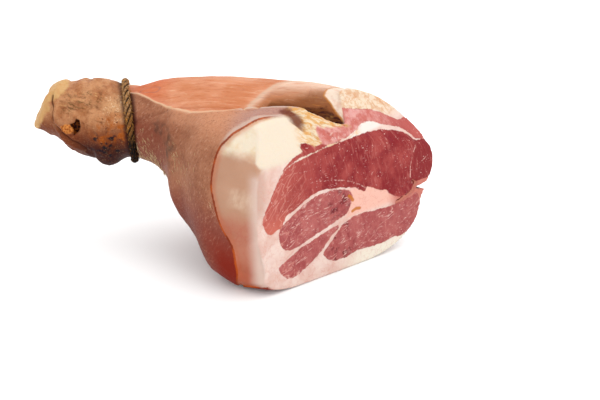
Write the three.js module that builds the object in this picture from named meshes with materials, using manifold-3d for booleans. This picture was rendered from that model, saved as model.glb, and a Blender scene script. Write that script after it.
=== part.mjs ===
// Cured ham: the shank end of a boned leg, lying on its rind, with the thigh cut straight across.
// Millimetres, +Z up, +X towards the cut. Points along the leg are given from the near bottom
// corner of the cut; points on the cut face are given as [across, height] from the same corner.

import * as THREE from "three";
import { mergeVertices } from "three/addons/utils/BufferGeometryUtils.js";
import Module from "manifold-3d";

const wasm = await Module();
wasm.setup();

const DEGREE = Math.PI / 180;
const TURN = 2 * Math.PI;
const GAP = 0.3;
const UP = new THREE.Vector3(0, 0, 1);

// The cut face stands upright, turned by CUT_YAW from square to the leg's long axis.
const CUT_CORNER = new THREE.Vector3(75.1, -92.6, 0);
const CUT_YAW = 32 * DEGREE;
const CUT_OUT = new THREE.Vector3(Math.cos(CUT_YAW), -Math.sin(CUT_YAW), 0);
const CUT_ACROSS = new THREE.Vector3(Math.sin(CUT_YAW), Math.cos(CUT_YAW), 0);
const PAST_CUT = 16;

// The top of the face leans back above two lines that meet over its middle.
const BEVEL_LEAN = 38 * DEGREE;
const BEVEL_LINES = [
  [[-5, 127], [100, 133]],
  [[100, 133], [190, 102]],
];

// Upright rings from the cut to the hock: centre, turn about the vertical in degrees, reach on
// each side, and how boxy each quarter is (far top, near top, near bottom, far bottom).
const RINGS = [
  { x: 54.6, y: 87.3, z: 72, yaw: 32, near: 109, far: 110, up: 89, down: 74, square: [2.15, 4.4, 5.2, 2.4] },
  { x: 20, y: 91.5, z: 76, yaw: 28, near: 107, far: 108, up: 93, down: 79, square: [2.3, 4.0, 6.0, 2.4] },
  { x: -20, y: 93, z: 80, yaw: 20, near: 98, far: 102, up: 89, down: 84, square: [2.35, 3.2, 3.9, 2.4] },
  { x: -55, y: 94, z: 86, yaw: 11, near: 84, far: 92, up: 83, down: 90, square: [2.2, 3.2, 2.3, 2.4] },
  { x: -85, y: 96, z: 97, yaw: 3, near: 68, far: 76, up: 71, down: 73, square: [2.2, 2.6, 2.5, 2.3] },
  { x: -102, y: 96.5, z: 108, yaw: 0, near: 63, far: 65, up: 58, down: 50, square: [2.2, 2.5, 4.2, 2.3] },
  { x: -113, y: 97, z: 115.5, yaw: -3, near: 53, far: 56, up: 50, down: 47, square: [2.1, 2.3, 2.4, 2.2] },
  { x: -136, y: 96, z: 120, yaw: -8, near: 41, far: 42, up: 41, down: 37, square: [2.1, 2.1, 2.1, 2.1] },
  { x: -166, y: 95, z: 119, yaw: -10, near: 34, far: 34, up: 33, down: 34, square: [2, 2, 2, 2] },
  { x: -186, y: 92, z: 119, yaw: -10, near: 38, far: 36, up: 38, down: 38, square: [2.1, 2.1, 2.1, 2.1] },
  { x: -212, y: 89, z: 122, yaw: -10, near: 34, far: 32, up: 32, down: 35, square: [2.1, 2.1, 2.1, 2.1] },
  { x: -238, y: 86, z: 126, yaw: -10, near: 28, far: 27, up: 28, down: 28, square: [2.2, 2.2, 2.2, 2.2] },
  { x: -262, y: 84, z: 128, yaw: -10, near: 24, far: 22, up: 22, down: 22, square: [2.2, 2.2, 2.2, 2.2] },
];
const LAST_RING = RINGS.length - 1;
const LOFT_STEPS = 46;
const AROUND = 52;

// The hock's stub: its pale end is cut on a slant, and the skin stops in a raised lip round it.
const HOCK_END = { at: [-245, 66, 127], out: [-0.86, -0.28, 0.42] };
const LIP = { top: -234, bottom: -206, height: 3, softness: 4 };

// Swellings of the hock and thigh: place along x, angle round the ring in degrees, height, spreads.
const SWELLINGS = [
  { x: -196, angle: 100, height: 3, length: 12, width: 38 },
  { x: -177, angle: 248, height: 6.5, length: 9, width: 42 },
  { x: -214, angle: 215, height: 2.5, length: 9, width: 30 },
  { x: -196, angle: 165, height: -2, length: 10, width: 26 },
];

// The rind is pared off near the cut down to the fat; its edge runs at these x from top to bottom.
const PARED = { depth: 2.2, softness: 9, edge: [[0, -52], [60, -52], [110, -50], [150, -30], [180, -4]] };

// The skinless top is hollowed between the rind's upper edge and the far side.
const HOLLOW = { depth: 10, from: -140, near: 66, width: 31 };

// A fold runs back from the top of the cut: along its floor, how wide it gapes and how deep.
const FOLD = [
  { x: 76, y: 104, z: 141, gape: 46, wall: 30 },
  { x: 50, y: 96, z: 141, gape: 45, wall: 34 },
  { x: 36, y: 90, z: 140, gape: 44, wall: 34 },
  { x: 20, y: 84, z: 142, gape: 43, wall: 27 },
  { x: 0, y: 80, z: 149, gape: 40, wall: 10 },
  { x: -34, y: 72, z: 160, gape: 12, wall: 1 },
];
const FOLD_TOP = 185;

// A cleft bites into the far side of the cut, and closes behind it.
const CLEFT = { tip: [176, 59], mouth: [[232, 45], [232, 71]], depth: 46, narrowed: 0.15, runOut: 20 };

// Below the cleft the far side of the thigh is slighter.
const SLIGHT = { depth: 12, height: 44, spread: 22, from: 20, softness: 60 };

// A small torn hole in the near side of the hock.
const TEAR = { at: [-204, 55, 122], size: [4, 9, 7.5] };

// The lean at the cut, muscle by muscle, each outline [across, height].
const MUSCLES = {
  upper: [
    [11, 61], [4, 69], [2, 76], [4, 84], [9, 92], [14.5, 103], [19.5, 111], [26, 118.5], [40, 123.5],
    [57, 126.5], [75, 128.5], [96, 130.5], [118, 130.5], [134, 129], [146, 127.5], [161, 124], [177, 118],
    [187, 112], [193, 105], [207, 103], [212, 93], [217, 79], [218, 70], [210, 67.5], [197, 67],
    [187, 66], [180, 60], [172.5, 54.5], [163, 57], [156, 61.5], [151, 66.5], [141.5, 69.5], [134, 74],
    [127, 77], [118, 77.5], [112, 81], [105, 83.5], [96, 86], [84, 88.5], [72, 89.5], [60, 88],
    [49.5, 85], [38, 79.5], [28, 75.5], [22, 67], [17, 64],
  ],
  strip: [
    [30, 123.5], [46, 128.5], [62, 130.5], [75, 133], [66, 137.5], [59, 138.5], [50, 136], [38, 130],
  ],
  cap: [
    [118, 146.5], [126, 150.5], [136, 149.5], [147, 146], [159, 143], [170, 137.5], [179, 131.5],
    [190, 127.5], [202, 126], [211, 118], [212, 110], [206, 105.5], [194, 109], [191.5, 114.5],
    [183, 122.5], [171, 128], [158, 132.5], [147, 136.5], [135, 138], [126, 137], [114, 135.5],
    [104, 134.5], [95, 136], [90, 139], [97, 140.5], [106, 138.5], [112, 140.5],
  ],
  inner: [
    [21, 54], [21, 61], [24.5, 66], [31, 69.5], [41, 74.5], [51, 79], [63, 82.5], [75, 84], [87, 83],
    [98, 80], [105.5, 76.5], [108, 73], [107, 66], [104.5, 60.5], [100, 56], [90, 54.5], [78, 50.5],
    [66, 47.5], [54, 43.5], [42, 41], [30, 41], [24, 45.5],
  ],
  lower: [
    [21, 23], [23, 27], [33, 31.5], [45, 36], [60, 40.5], [75, 44.5], [88, 47], [90, 44.5], [82, 39],
    [77, 34], [70, 27], [62.5, 22], [51, 15.5], [42, 12], [33, 11], [27, 14],
  ],
  shank: [
    [98, 46.5], [106, 49], [112, 51], [125, 51], [137, 50], [156, 48.5], [169, 48], [179, 47],
    [188, 43], [192, 36], [190, 28], [185, 21], [180, 16.5], [172, 14.5], [160.5, 15.5], [151, 14],
    [138, 14], [125, 15], [116, 15.5], [106.5, 13.5], [97, 12.5], [88, 13], [79.5, 18], [76.5, 23.5],
    [78.5, 27], [84, 32], [89, 37], [94, 42.5],
  ],
};
const MUSCLE_DEPTH = 22;
const MUSCLE_OVERLAP = 8;
const OUTLINE_STEP = 5.5;

// Behind the face the muscles grow together into one core; the fat round it, side by side.
const CORE_RIM = { near: 13, far: 9, up: 28, down: 15 };
const CORE_END = 5.4;
const CORE_STEPS = 16;
const CORE_AROUND = 28;

// String tied round the neck above the hock: three strands twisted together.
const STRING = { at: [-164.5, 95, 119.5], yaw: -24, lean: -5, reach: 37, radius: 3.7 };
const STRANDS = { count: 3, twists: 9, relief: 0.14 };
const STRING_STEPS = 90;
const STRING_SIDES = 9;

function smooth(edge, softness, value) {
  const t = THREE.MathUtils.clamp((value - edge) / softness + 0.5, 0, 1);
  return t * t * (3 - 2 * t);
}

function bump(distance, spread) {
  return Math.exp(-((distance / spread) ** 2));
}

function catmull(a, b, c, d, t) {
  const linear = c - a;
  const square = 2 * a - 5 * b + 4 * c - d;
  const cube = -a + 3 * b - 3 * c + d;
  return b + 0.5 * t * (linear + t * (square + t * cube));
}

// The ring at a place along the leg, 0 at the cut and LAST_RING at the hock's end.
function ringAt(place) {
  const first = Math.min(Math.floor(place), LAST_RING - 1);
  const four = [-1, 0, 1, 2].map((step) => RINGS[THREE.MathUtils.clamp(first + step, 0, LAST_RING)]);
  const blend = (pick) => catmull(...four.map(pick), place - first);
  const ring = { square: [0, 1, 2, 3].map((quarter) => blend((r) => r.square[quarter])) };
  for (const key of ["x", "y", "z", "yaw", "near", "far", "up", "down"]) {
    ring[key] = blend((r) => r[key]);
  }
  return ring;
}

function signedPower(value, power) {
  return Math.sign(value) * Math.abs(value) ** power;
}

// A point of a ring's outline as [across, height] from its centre, angle 0 far and 90 degrees up.
function outlinePoint(ring, angle) {
  const c = Math.cos(angle);
  const s = Math.sin(angle);
  const quarter = s >= 0 ? (c >= 0 ? 0 : 1) : c < 0 ? 2 : 3;
  const power = 2 / ring.square[quarter];
  return [
    signedPower(c, power) * (c >= 0 ? ring.far : ring.near),
    signedPower(s, power) * (s >= 0 ? ring.up : ring.down),
  ];
}

function onRing(ring, [across, height]) {
  const yaw = ring.yaw * DEGREE;
  return new THREE.Vector3(
    ring.x + across * Math.sin(yaw),
    ring.y + across * Math.cos(yaw),
    ring.z + height,
  );
}

// Where the rind's pared edge lies at a height, by straight steps between its points.
function paredEdge(height) {
  const { edge } = PARED;
  const next = edge.findIndex(([z]) => z > height);
  if (next <= 0) {
    return edge[next === 0 ? 0 : edge.length - 1][1];
  }
  const [[z0, x0], [z1, x1]] = [edge[next - 1], edge[next]];
  return THREE.MathUtils.mapLinear(height, z0, z1, x0, x1);
}

// How far the surface stands out from the plain ring at a point, in millimetres.
function relief(point, angle) {
  const turn = THREE.MathUtils.euclideanModulo(angle / DEGREE, 360);
  let out = 0;
  for (const s of SWELLINGS) {
    const away = Math.abs(THREE.MathUtils.euclideanModulo(turn - s.angle + 180, 360) - 180);
    out += s.height * bump(point.x - s.x, s.length) * bump(away, s.width);
  }
  const bottomness = 0.5 - 0.5 * Math.sin(angle);
  const lipX = THREE.MathUtils.lerp(LIP.top, LIP.bottom, bottomness ** 2);
  out -= LIP.height * (1 - smooth(lipX, LIP.softness, point.x));
  const nearSide = 1 - smooth(60, 30, point.y);
  out -= PARED.depth * nearSide * smooth(paredEdge(point.z), PARED.softness, point.x);
  const farSide = Math.max(0, Math.cos(angle)) ** 2;
  const slight = farSide * smooth(SLIGHT.from, SLIGHT.softness, point.x);
  out -= SLIGHT.depth * slight * bump(point.z - SLIGHT.height, SLIGHT.spread);
  const along = smooth(HOLLOW.from, 40, point.x);
  const onTop = Math.max(0, Math.sin(angle)) ** 2;
  return out - HOLLOW.depth * along * onTop * bump(point.y - HOLLOW.near, HOLLOW.width);
}

// A closed skin over rows of points, each end drawn together to its middle.
function skinOver(rows) {
  const around = rows[0].length;
  const positions = rows.flat().flatMap((p) => [p.x, p.y, p.z]);
  const index = [];
  for (let row = 0; row < rows.length - 1; row++) {
    for (let i = 0; i < around; i++) {
      const a = row * around + i;
      const b = row * around + ((i + 1) % around);
      index.push(a, a + around, b, b, a + around, b + around);
    }
  }
  for (const [row, flip] of [[0, false], [rows.length - 1, true]]) {
    const middle = rows[row].reduce((sum, p) => sum.add(p), new THREE.Vector3()).divideScalar(around);
    const tip = positions.length / 3;
    positions.push(middle.x, middle.y, middle.z);
    for (let i = 0; i < around; i++) {
      const a = row * around + i;
      const b = row * around + ((i + 1) % around);
      index.push(...(flip ? [tip, b, a] : [tip, a, b]));
    }
  }
  const geometry = new THREE.BufferGeometry();
  geometry.setAttribute("position", new THREE.Float32BufferAttribute(positions, 3));
  geometry.setIndex(index);
  return geometry;
}

function toSolid(geometry) {
  const bare = geometry.clone();
  bare.deleteAttribute("normal");
  bare.deleteAttribute("uv");
  const merged = mergeVertices(bare);
  return new wasm.Manifold(new wasm.Mesh({
    numProp: 3,
    vertProperties: new Float32Array(merged.attributes.position.array),
    triVerts: new Uint32Array(merged.index.array),
  }));
}

function toGeometry(solid) {
  const mesh = solid.getMesh();
  const geometry = new THREE.BufferGeometry();
  geometry.setAttribute("position", new THREE.BufferAttribute(mesh.vertProperties, 3));
  geometry.setIndex(new THREE.BufferAttribute(mesh.triVerts, 1));
  return geometry;
}

function facePoint([across, height], out = 0) {
  return CUT_ACROSS.clone().multiplyScalar(across).addScaledVector(UP, height).addScaledVector(CUT_OUT, out);
}

// Everything behind a plane through a point, as a block far larger than the leg.
function blockBehind(point, outward) {
  const size = 900;
  const block = new THREE.BoxGeometry(size, size, size);
  block.translate(-size / 2, 0, 0);
  block.applyQuaternion(new THREE.Quaternion().setFromUnitVectors(new THREE.Vector3(1, 0, 0), outward));
  block.translate(point.x, point.y, point.z);
  return toSolid(block);
}

// The face and its two bevels, cut from any solid that reaches past them.
function cutFace(solid) {
  let cut = solid.intersect(blockBehind(new THREE.Vector3(), CUT_OUT));
  for (const [from, to] of BEVEL_LINES) {
    const line = facePoint(to).sub(facePoint(from)).normalize();
    const rising = CUT_OUT.clone().cross(line);
    rising.multiplyScalar(Math.sign(rising.z));
    const outward = CUT_OUT.clone().multiplyScalar(Math.cos(BEVEL_LEAN));
    outward.addScaledVector(rising, Math.sin(BEVEL_LEAN));
    cut = cut.intersect(blockBehind(facePoint(from), outward));
  }
  return cut;
}

// The whole leg before it is cut, run a little past the face.
function legSkin() {
  const past = { ...RINGS[0] };
  past.x += PAST_CUT * CUT_OUT.x;
  past.y += PAST_CUT * CUT_OUT.y;
  const rings = [past];
  for (let step = 0; step <= LOFT_STEPS; step++) {
    rings.push(ringAt((step / LOFT_STEPS) * LAST_RING));
  }
  return skinOver(rings.map((ring) => Array.from({ length: AROUND }, (_, i) => {
    const angle = (i / AROUND) * TURN;
    const [across, height] = outlinePoint(ring, angle);
    const grown = 1 + relief(onRing(ring, [across, height]), angle) / Math.hypot(across, height);
    return onRing(ring, [across * grown, height * grown]);
  })));
}

// The fold: a near wall that leans back more by the cut, a floor line and a long far slope.
function foldCutter() {
  return skinOver(FOLD.map((f) => [
    new THREE.Vector3(f.x, f.y - f.wall, FOLD_TOP),
    new THREE.Vector3(f.x, f.y, f.z),
    new THREE.Vector3(f.x, f.y + f.gape, FOLD_TOP),
  ]));
}

// The cleft narrows and runs out sideways as it goes back from the face.
function cleftCutter() {
  const corners = [CLEFT.tip, ...CLEFT.mouth];
  const floor = CLEFT.tip[1];
  const atFace = corners.map((corner) => facePoint(corner, PAST_CUT));
  const atBack = corners.map(([across, height]) => {
    return facePoint([across + CLEFT.runOut, floor + (height - floor) * CLEFT.narrowed], -CLEFT.depth);
  });
  return skinOver([atFace, atBack]);
}

function tearCutter() {
  const tear = new THREE.SphereGeometry(1, 10, 8);
  tear.scale(...TEAR.size);
  tear.translate(...TEAR.at);
  return tear;
}

function hockPlane(solid) {
  const outward = new THREE.Vector3(...HOCK_END.out).normalize();
  return solid.intersect(blockBehind(new THREE.Vector3(...HOCK_END.at), outward));
}

// An outline drawn smoothly through its points, with every side moved outwards by grow.
function smoothOutline(points, grow) {
  const curve = new THREE.CatmullRomCurve3(points.map(([a, h]) => new THREE.Vector3(a, h, 0)), true);
  const count = Math.round(curve.getLength() / OUTLINE_STEP);
  const outline = Array.from({ length: count }, (_, i) => curve.getPointAt(i / count));
  const turn = Math.sign(THREE.ShapeUtils.area(outline));
  const sideOf = (from, to) => new THREE.Vector3(to.y - from.y, from.x - to.x, 0).setLength(turn);
  return outline.map((point, i) => {
    const before = sideOf(outline.at(i - 1), point);
    const after = sideOf(point, outline[(i + 1) % count]);
    const miter = before.clone().add(after).divideScalar(1 + before.dot(after));
    return new THREE.Vector2(point.x + grow * miter.x, point.y + grow * miter.y);
  });
}

// A muscle runs back from the face along the leg.
function muscleBar(points, grow) {
  const back = MUSCLE_DEPTH + MUSCLE_OVERLAP + grow;
  const flat = new THREE.ExtrudeGeometry(new THREE.Shape(smoothOutline(points, grow)), {
    depth: back + PAST_CUT,
    bevelEnabled: false,
  });
  const alongLeg = new THREE.Vector3(1 / CUT_OUT.x, 0, 0);
  const frame = new THREE.Matrix4().makeBasis(CUT_ACROSS, UP, alongLeg);
  flat.translate(0, 0, -back);
  flat.applyMatrix4(frame);
  return toSolid(flat);
}

// The core behind the muscles, inside the rim of fat.
function leanCore(grow) {
  const rows = [];
  for (let step = 0; step <= CORE_STEPS; step++) {
    const ring = ringAt((step / CORE_STEPS) * CORE_END);
    for (const side of Object.keys(CORE_RIM)) {
      ring[side] += grow - CORE_RIM[side];
    }
    if (step === CORE_STEPS) {
      ring.x -= grow;
    }
    rows.push(Array.from({ length: CORE_AROUND }, (_, i) => {
      return onRing(ring, outlinePoint(ring, (i / CORE_AROUND) * TURN));
    }));
  }
  const front = facePoint([0, 0], grow - MUSCLE_DEPTH);
  return toSolid(skinOver(rows)).intersect(blockBehind(front, CUT_OUT));
}

function leanSolid(grow) {
  const bars = Object.values(MUSCLES).map((points) => muscleBar(points, grow));
  return bars.reduce((sum, bar) => sum.add(bar), leanCore(grow));
}

// The string as a ring whose section turns with its strands.
function stringRing(grow) {
  const ring = new THREE.TorusGeometry(STRING.reach, STRING.radius, STRING_SIDES, STRING_STEPS);
  const position = ring.attributes.position;
  for (let i = 0; i < position.count; i++) {
    const p = new THREE.Vector3().fromBufferAttribute(position, i);
    const around = Math.atan2(p.y, p.x);
    const outward = new THREE.Vector3(Math.cos(around), Math.sin(around), 0);
    const middle = outward.clone().multiplyScalar(STRING.reach);
    const section = Math.atan2(p.z, Math.hypot(p.x, p.y) - STRING.reach);
    const lobe = Math.cos(STRANDS.count * (section + STRANDS.twists * around));
    const radius = STRING.radius * (1 + STRANDS.relief * lobe) + grow;
    p.copy(middle).addScaledVector(outward, radius * Math.cos(section));
    p.addScaledVector(UP, radius * Math.sin(section));
    position.setXYZ(i, p.x, p.y, p.z);
  }
  ring.rotateY((90 + STRING.lean) * DEGREE);
  ring.rotateZ(-STRING.yaw * DEGREE);
  ring.translate(...STRING.at);
  return toSolid(ring);
}

function meshOf(name, solid, color, roughness) {
  const material = new THREE.MeshStandardMaterial({ color, roughness, metalness: 0 });
  const mesh = new THREE.Mesh(toGeometry(solid), material);
  mesh.name = name;
  return mesh;
}

let leg = cutFace(hockPlane(toSolid(legSkin())));
leg = leg.intersect(blockBehind(new THREE.Vector3(), UP.clone().negate()));
leg = leg.subtract(toSolid(foldCutter())).subtract(toSolid(cleftCutter())).subtract(toSolid(tearCutter()));
leg = leg.subtract(stringRing(GAP));

const group = new THREE.Group();
group.add(meshOf("rind_and_fat", leg.subtract(leanSolid(GAP)), 0xd0a07c, 0.6));
group.add(meshOf("lean", leg.intersect(leanSolid(0)), 0xa23c3c, 0.5));
group.add(meshOf("string", stringRing(0), 0x6a5638, 0.9));
group.position.copy(CUT_CORNER);

export default group;
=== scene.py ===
"""Looks of a cured ham: the shank end of a leg lying on its rind, with the thigh cut across.

The leg's own skin, fat and lean are one finely modelled mesh round the frame's two food solids.
Places on the leg are in millimetres from the near bottom corner of the cut: x along the leg
towards the cut, y away from the viewer, z up. Colours are the ones seen in daylight, 0 to 255.
"""

import math

import bmesh
import bpy
import numpy as np
from mathutils import Matrix, Vector


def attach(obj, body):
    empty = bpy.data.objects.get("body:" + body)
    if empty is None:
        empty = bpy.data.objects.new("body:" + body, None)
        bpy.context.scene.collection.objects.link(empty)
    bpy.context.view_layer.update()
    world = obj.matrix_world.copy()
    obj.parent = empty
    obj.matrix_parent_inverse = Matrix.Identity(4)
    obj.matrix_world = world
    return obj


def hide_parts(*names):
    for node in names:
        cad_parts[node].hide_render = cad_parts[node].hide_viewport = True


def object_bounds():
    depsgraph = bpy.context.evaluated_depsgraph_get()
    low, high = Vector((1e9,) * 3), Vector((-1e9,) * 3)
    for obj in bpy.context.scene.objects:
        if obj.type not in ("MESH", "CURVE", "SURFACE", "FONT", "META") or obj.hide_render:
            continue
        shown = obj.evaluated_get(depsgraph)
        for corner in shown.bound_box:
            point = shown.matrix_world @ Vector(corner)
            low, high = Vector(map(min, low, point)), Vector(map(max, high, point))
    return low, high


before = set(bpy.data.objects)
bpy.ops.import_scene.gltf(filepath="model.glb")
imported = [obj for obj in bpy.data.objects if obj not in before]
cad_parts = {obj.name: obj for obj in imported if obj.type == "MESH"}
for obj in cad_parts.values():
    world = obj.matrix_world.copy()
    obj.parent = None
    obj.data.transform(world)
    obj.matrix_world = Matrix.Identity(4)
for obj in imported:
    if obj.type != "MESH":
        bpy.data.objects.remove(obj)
cad_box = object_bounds()

MM = 0.001

# The cut: its near bottom corner in metres, its turn, and the two bevels at its top.
CORNER = Vector((0.0751, -0.0926, 0.0))
CUT_YAW = math.radians(32)
CUT_OUT = np.array([math.cos(CUT_YAW), -math.sin(CUT_YAW), 0.0])
CUT_ACROSS = np.array([math.sin(CUT_YAW), math.cos(CUT_YAW), 0.0])
BEVEL_LEAN = math.radians(38)
BEVEL_LINES = [((-5, 127), (100, 133)), ((100, 133), (190, 102))]

# The middle line of the leg, x, y, z, and how thick the leg is round it.
AXIS = [
    (-270, 84, 128, 23), (-212, 89, 122, 33), (-166, 95, 119, 34), (-136, 96, 120, 40),
    (-110, 97, 118, 52), (-85, 96, 97, 72), (-55, 94, 86, 87), (-20, 93, 80, 95), (55, 87, 76, 100),
]

# The edge where the rind is pared off, and the rind's upper edge along the skinless top.
TRIM = [
    (-28, 24, 0), (-26, 5.6, 10.6), (-23, 0.3, 21.7), (-24.2, -1.2, 35.3), (-25.9, -1.2, 47.1),
    (-30.7, -0.8, 56.2), (-37.5, -0.1, 66.8), (-41.3, 0.4, 76), (-44.2, 0.9, 88), (-46.9, 1.3, 102.3),
    (-46.8, 1.6, 112), (-44.9, 2.5, 126.4), (-40.8, 7.5, 141.3), (-35.2, 10.6, 148.4), (-31, 15, 153),
    (-22, 21.7, 158.3), (-13, 36, 160.7), (-2.7, 47.5, 159.5), (5.9, 51, 157.6), (14, 54, 153),
    (26, 57, 143), (60, 60, 138),
]
TRIM_BEYOND = [(90, 62, 138), (90, 0, 60), (90, -2, 3), (20, -2, 3), (-8, 1, 3), (-20, 6, 3)]
RIDGE = [
    (-166, 88, 154), (-150, 83.9, 152.6), (-133, 76.2, 150.6), (-121, 70.8, 150.1), (-110.5, 64.5, 150.9),
    (-97, 57.5, 152.6), (-86, 53, 153), (-71, 47.5, 156), (-56, 47.5, 158.3), (-46, 53, 159.4),
    (-37, 62, 159.5), (-29, 68, 159.5), (-18, 72, 159.4), (2, 76, 158.5),
    (22, 80, 151), (35, 86, 144), (50, 93, 139), (80, 95, 135),
]
RIDGE_FAR = [
    (80, 175, 70), (30, 185, 92), (-20, 183, 105), (-60, 176, 112), (-95, 160, 118), (-125, 138, 124),
    (-150, 124, 132), (-166, 106, 151),
]

# The floor of the fold between the near lobe and the far one in plan, and how far up its far wall
# the painted shade reaches, by place along the leg.
FOLD_FLOOR = [(-34, 72), (0, 80), (20, 84), (36, 90), (50, 96), (76, 104)]
DARK_REACH = [(-34, 2), (0, 6), (10, 9), (18, 12), (29, 12.5), (36, 10), (42, 6), (50, 2)]

# The far lobe turns cream by the cut, in plan.
FAR_FRONT = [
    (24.7, 107), (26, 120), (30, 132), (44, 146), (60, 168), (110, 190), (110, 104), (62, 99),
    (50, 96.5), (40.3, 100.6), (32.2, 104.8),
]

# A pale line over the top, where the far lobe starts.
LOBE_LINE = [(-36, 72, 159.5), (-30, 90, 163.8), (-23, 110, 166.8), (-14, 130, 163), (-6, 150, 152)]

# The dried edge of the near lobe beside the fold in plan, and the dark patch on its top.
DRIED = [
    (6, 66.5), (9, 69.5), (17.3, 73.5), (27.3, 76.5), (35.6, 81), (44.9, 90.5), (53, 98.5), (47, 88.5),
    (40.4, 80.5), (33, 73.7), (28.5, 69.7), (30, 66), (36, 63), (32, 55.5), (26.3, 52.4), (23.5, 55.4),
    (20, 58.5), (17, 63), (10, 65.5),
]
DARK_PATCH = [(2, 63.5), (9, 60), (15, 58.5)]

# The middle line of a grey smudge on the rind by the neck.
SMUDGE = [(-119, 53, 134), (-106, 44, 133), (-99, 36, 127), (-102, 38, 117), (-98, 35, 108)]

# The hock: the raised lip of its skin, the slanting end, the torn hole and its flap, and stains.
LIP_LINE = [
    (-231, 68, 147), (-230, 61, 136), (-229, 60, 123), (-220, 57, 117), (-212, 56, 112),
    (-204, 57, 106), (-196, 60, 100),
]
STUB_END = ((-245, 66, 127), (-0.86, -0.28, 0.42))
TEAR = [
    (-209.5, 124.5), (-206, 126), (-203.5, 131), (-200.5, 129.5), (-199, 123.5), (-201.5, 118),
    (-205.5, 113.5), (-207, 119),
]
FLAP = [(-218, 122), (-213, 125), (-209, 124.5), (-206, 121), (-207, 117), (-212, 115.5), (-217, 117.5)]
ORANGE_STAIN = (-165, 60, 115)
PITTED = (-170, 61, 132)
PEACH = (-166, 69, 142)
OLIVE = [(-214, 62, 142), (-202, 65, 147), (-188, 69, 150)]
MOULD_MIDDLE = (-173, 58, 103)
MOULD_MARKS = [
    ((-169, 59, 113.5), 5.5), ((-184, 54.5, 112.7), 4.5), ((-178, 55, 109), 3.5), ((-175, 57, 104), 5),
    ((-170, 60, 106), 4), ((-175.7, 58.4, 98), 5), ((-166, 65, 99), 4), ((-172, 59, 101.5), 4),
]


def smooth(value, low, high):
    """0 below low and 1 above high, with a soft step between them."""
    t = np.clip((value - low) / (high - low), 0, 1)
    return t * t * (3 - 2 * t)


def bump(distance, spread):
    return np.exp(-((distance / spread) ** 2))


def lattice(cells, seed):
    """A number from -1 to 1 for each whole-numbered cell, always the same one."""
    mixed = cells[:, 0] * 374761393 + cells[:, 1] * 668265263 + cells[:, 2] * 1442695041 + seed * 97
    mixed = ((mixed ^ (mixed >> 13)) * 1274126177) & 0xFFFFFFFF
    return ((mixed ^ (mixed >> 16)) & 0xFFFF) / 32767.5 - 1


def waves(points, size, seed=0):
    """Smooth random swells about size millimetres across; size may differ along x, y and z."""
    scaled = points / size
    cell = np.floor(scaled).astype(np.int64)
    t = scaled - cell
    t = t * t * (3 - 2 * t)
    total = np.zeros(len(points))
    for corner in np.ndindex(2, 2, 2):
        weight = np.prod(np.where(corner, t, 1 - t), axis=1)
        total += weight * lattice(cell + corner, seed)
    return total


def distance_to_line(points, line, closed=False):
    """How far each flat point is from a line of straight steps."""
    line = np.asarray(line, float)
    ends = np.roll(line, -1, axis=0) if closed else line[1:]
    starts = line if closed else line[:-1]
    best = np.full(len(points), np.inf)
    for a, b in zip(starts, ends):
        step = b - a
        t = np.clip((points - a) @ step / max(step @ step, 1e-9), 0, 1)
        best = np.minimum(best, np.linalg.norm(points - a - t[:, None] * step, axis=1))
    return best


def inside(points, outline):
    """Which flat points lie in an outline."""
    outline = np.asarray(outline, float)
    x, y = points.T
    odd = np.zeros(len(points), bool)
    for (ax, ay), (bx, by) in zip(outline, np.roll(outline, -1, axis=0)):
        if ay != by:
            crosses = (ay > y) != (by > y)
            odd ^= crosses & (x < (bx - ax) * (y - ay) / (by - ay) + ax)
    return odd


def depth_in(points, outline):
    """The distance to a closed outline, above zero inside it."""
    distance = distance_to_line(points, outline, closed=True)
    return np.where(inside(points, outline), distance, -distance)


def rounded(points, per_side=5):
    """A smooth closed outline through points."""
    p = np.asarray(points, float)
    t = np.linspace(0, 1, per_side, endpoint=False)[:, None]
    before, after, later = (np.roll(p, turn, axis=0) for turn in (1, -1, -2))
    sides = []
    for a, b, c, d in zip(before, p, after, later):
        sides.append(b + 0.5 * t * (c - a + t * (2 * a - 5 * b + 4 * c - d + t * (3 * b - a - 3 * c + d))))
    return np.concatenate(sides)


def on_skin(points):
    """Unrolls the leg: along its length, and round its girth in millimetres from the near side."""
    points = np.asarray(points, float)
    x, y, z, girth = (np.array(column, float) for column in zip(*AXIS))
    along = points[:, 0]
    middle_y, middle_z, radius = (np.interp(along, x, column) for column in (y, z, girth))
    angle = np.arctan2(points[:, 2] - middle_z, middle_y - points[:, 1])
    return np.stack([along, angle * radius], axis=1)


def on_face(points):
    """Slides points along the leg to the cut: across it and up."""
    return np.stack([points[:, 1] / math.cos(CUT_YAW), points[:, 2]], axis=1)


def cut_planes(points):
    """How far points stand out from the cut and its two bevels; on the face the largest is zero."""
    planes = [(np.zeros(3), CUT_OUT)]
    for start, end in BEVEL_LINES:
        first, last = (CUT_ACROSS * a + np.array([0, 0, h]) for a, h in (start, end))
        rising = np.cross(CUT_OUT, last - first)
        rising *= np.sign(rising[2]) / np.linalg.norm(rising)
        planes.append((first, CUT_OUT * math.cos(BEVEL_LEAN) + rising * math.sin(BEVEL_LEAN)))
    return np.array([(points - place) @ outward for place, outward in planes])


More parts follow.
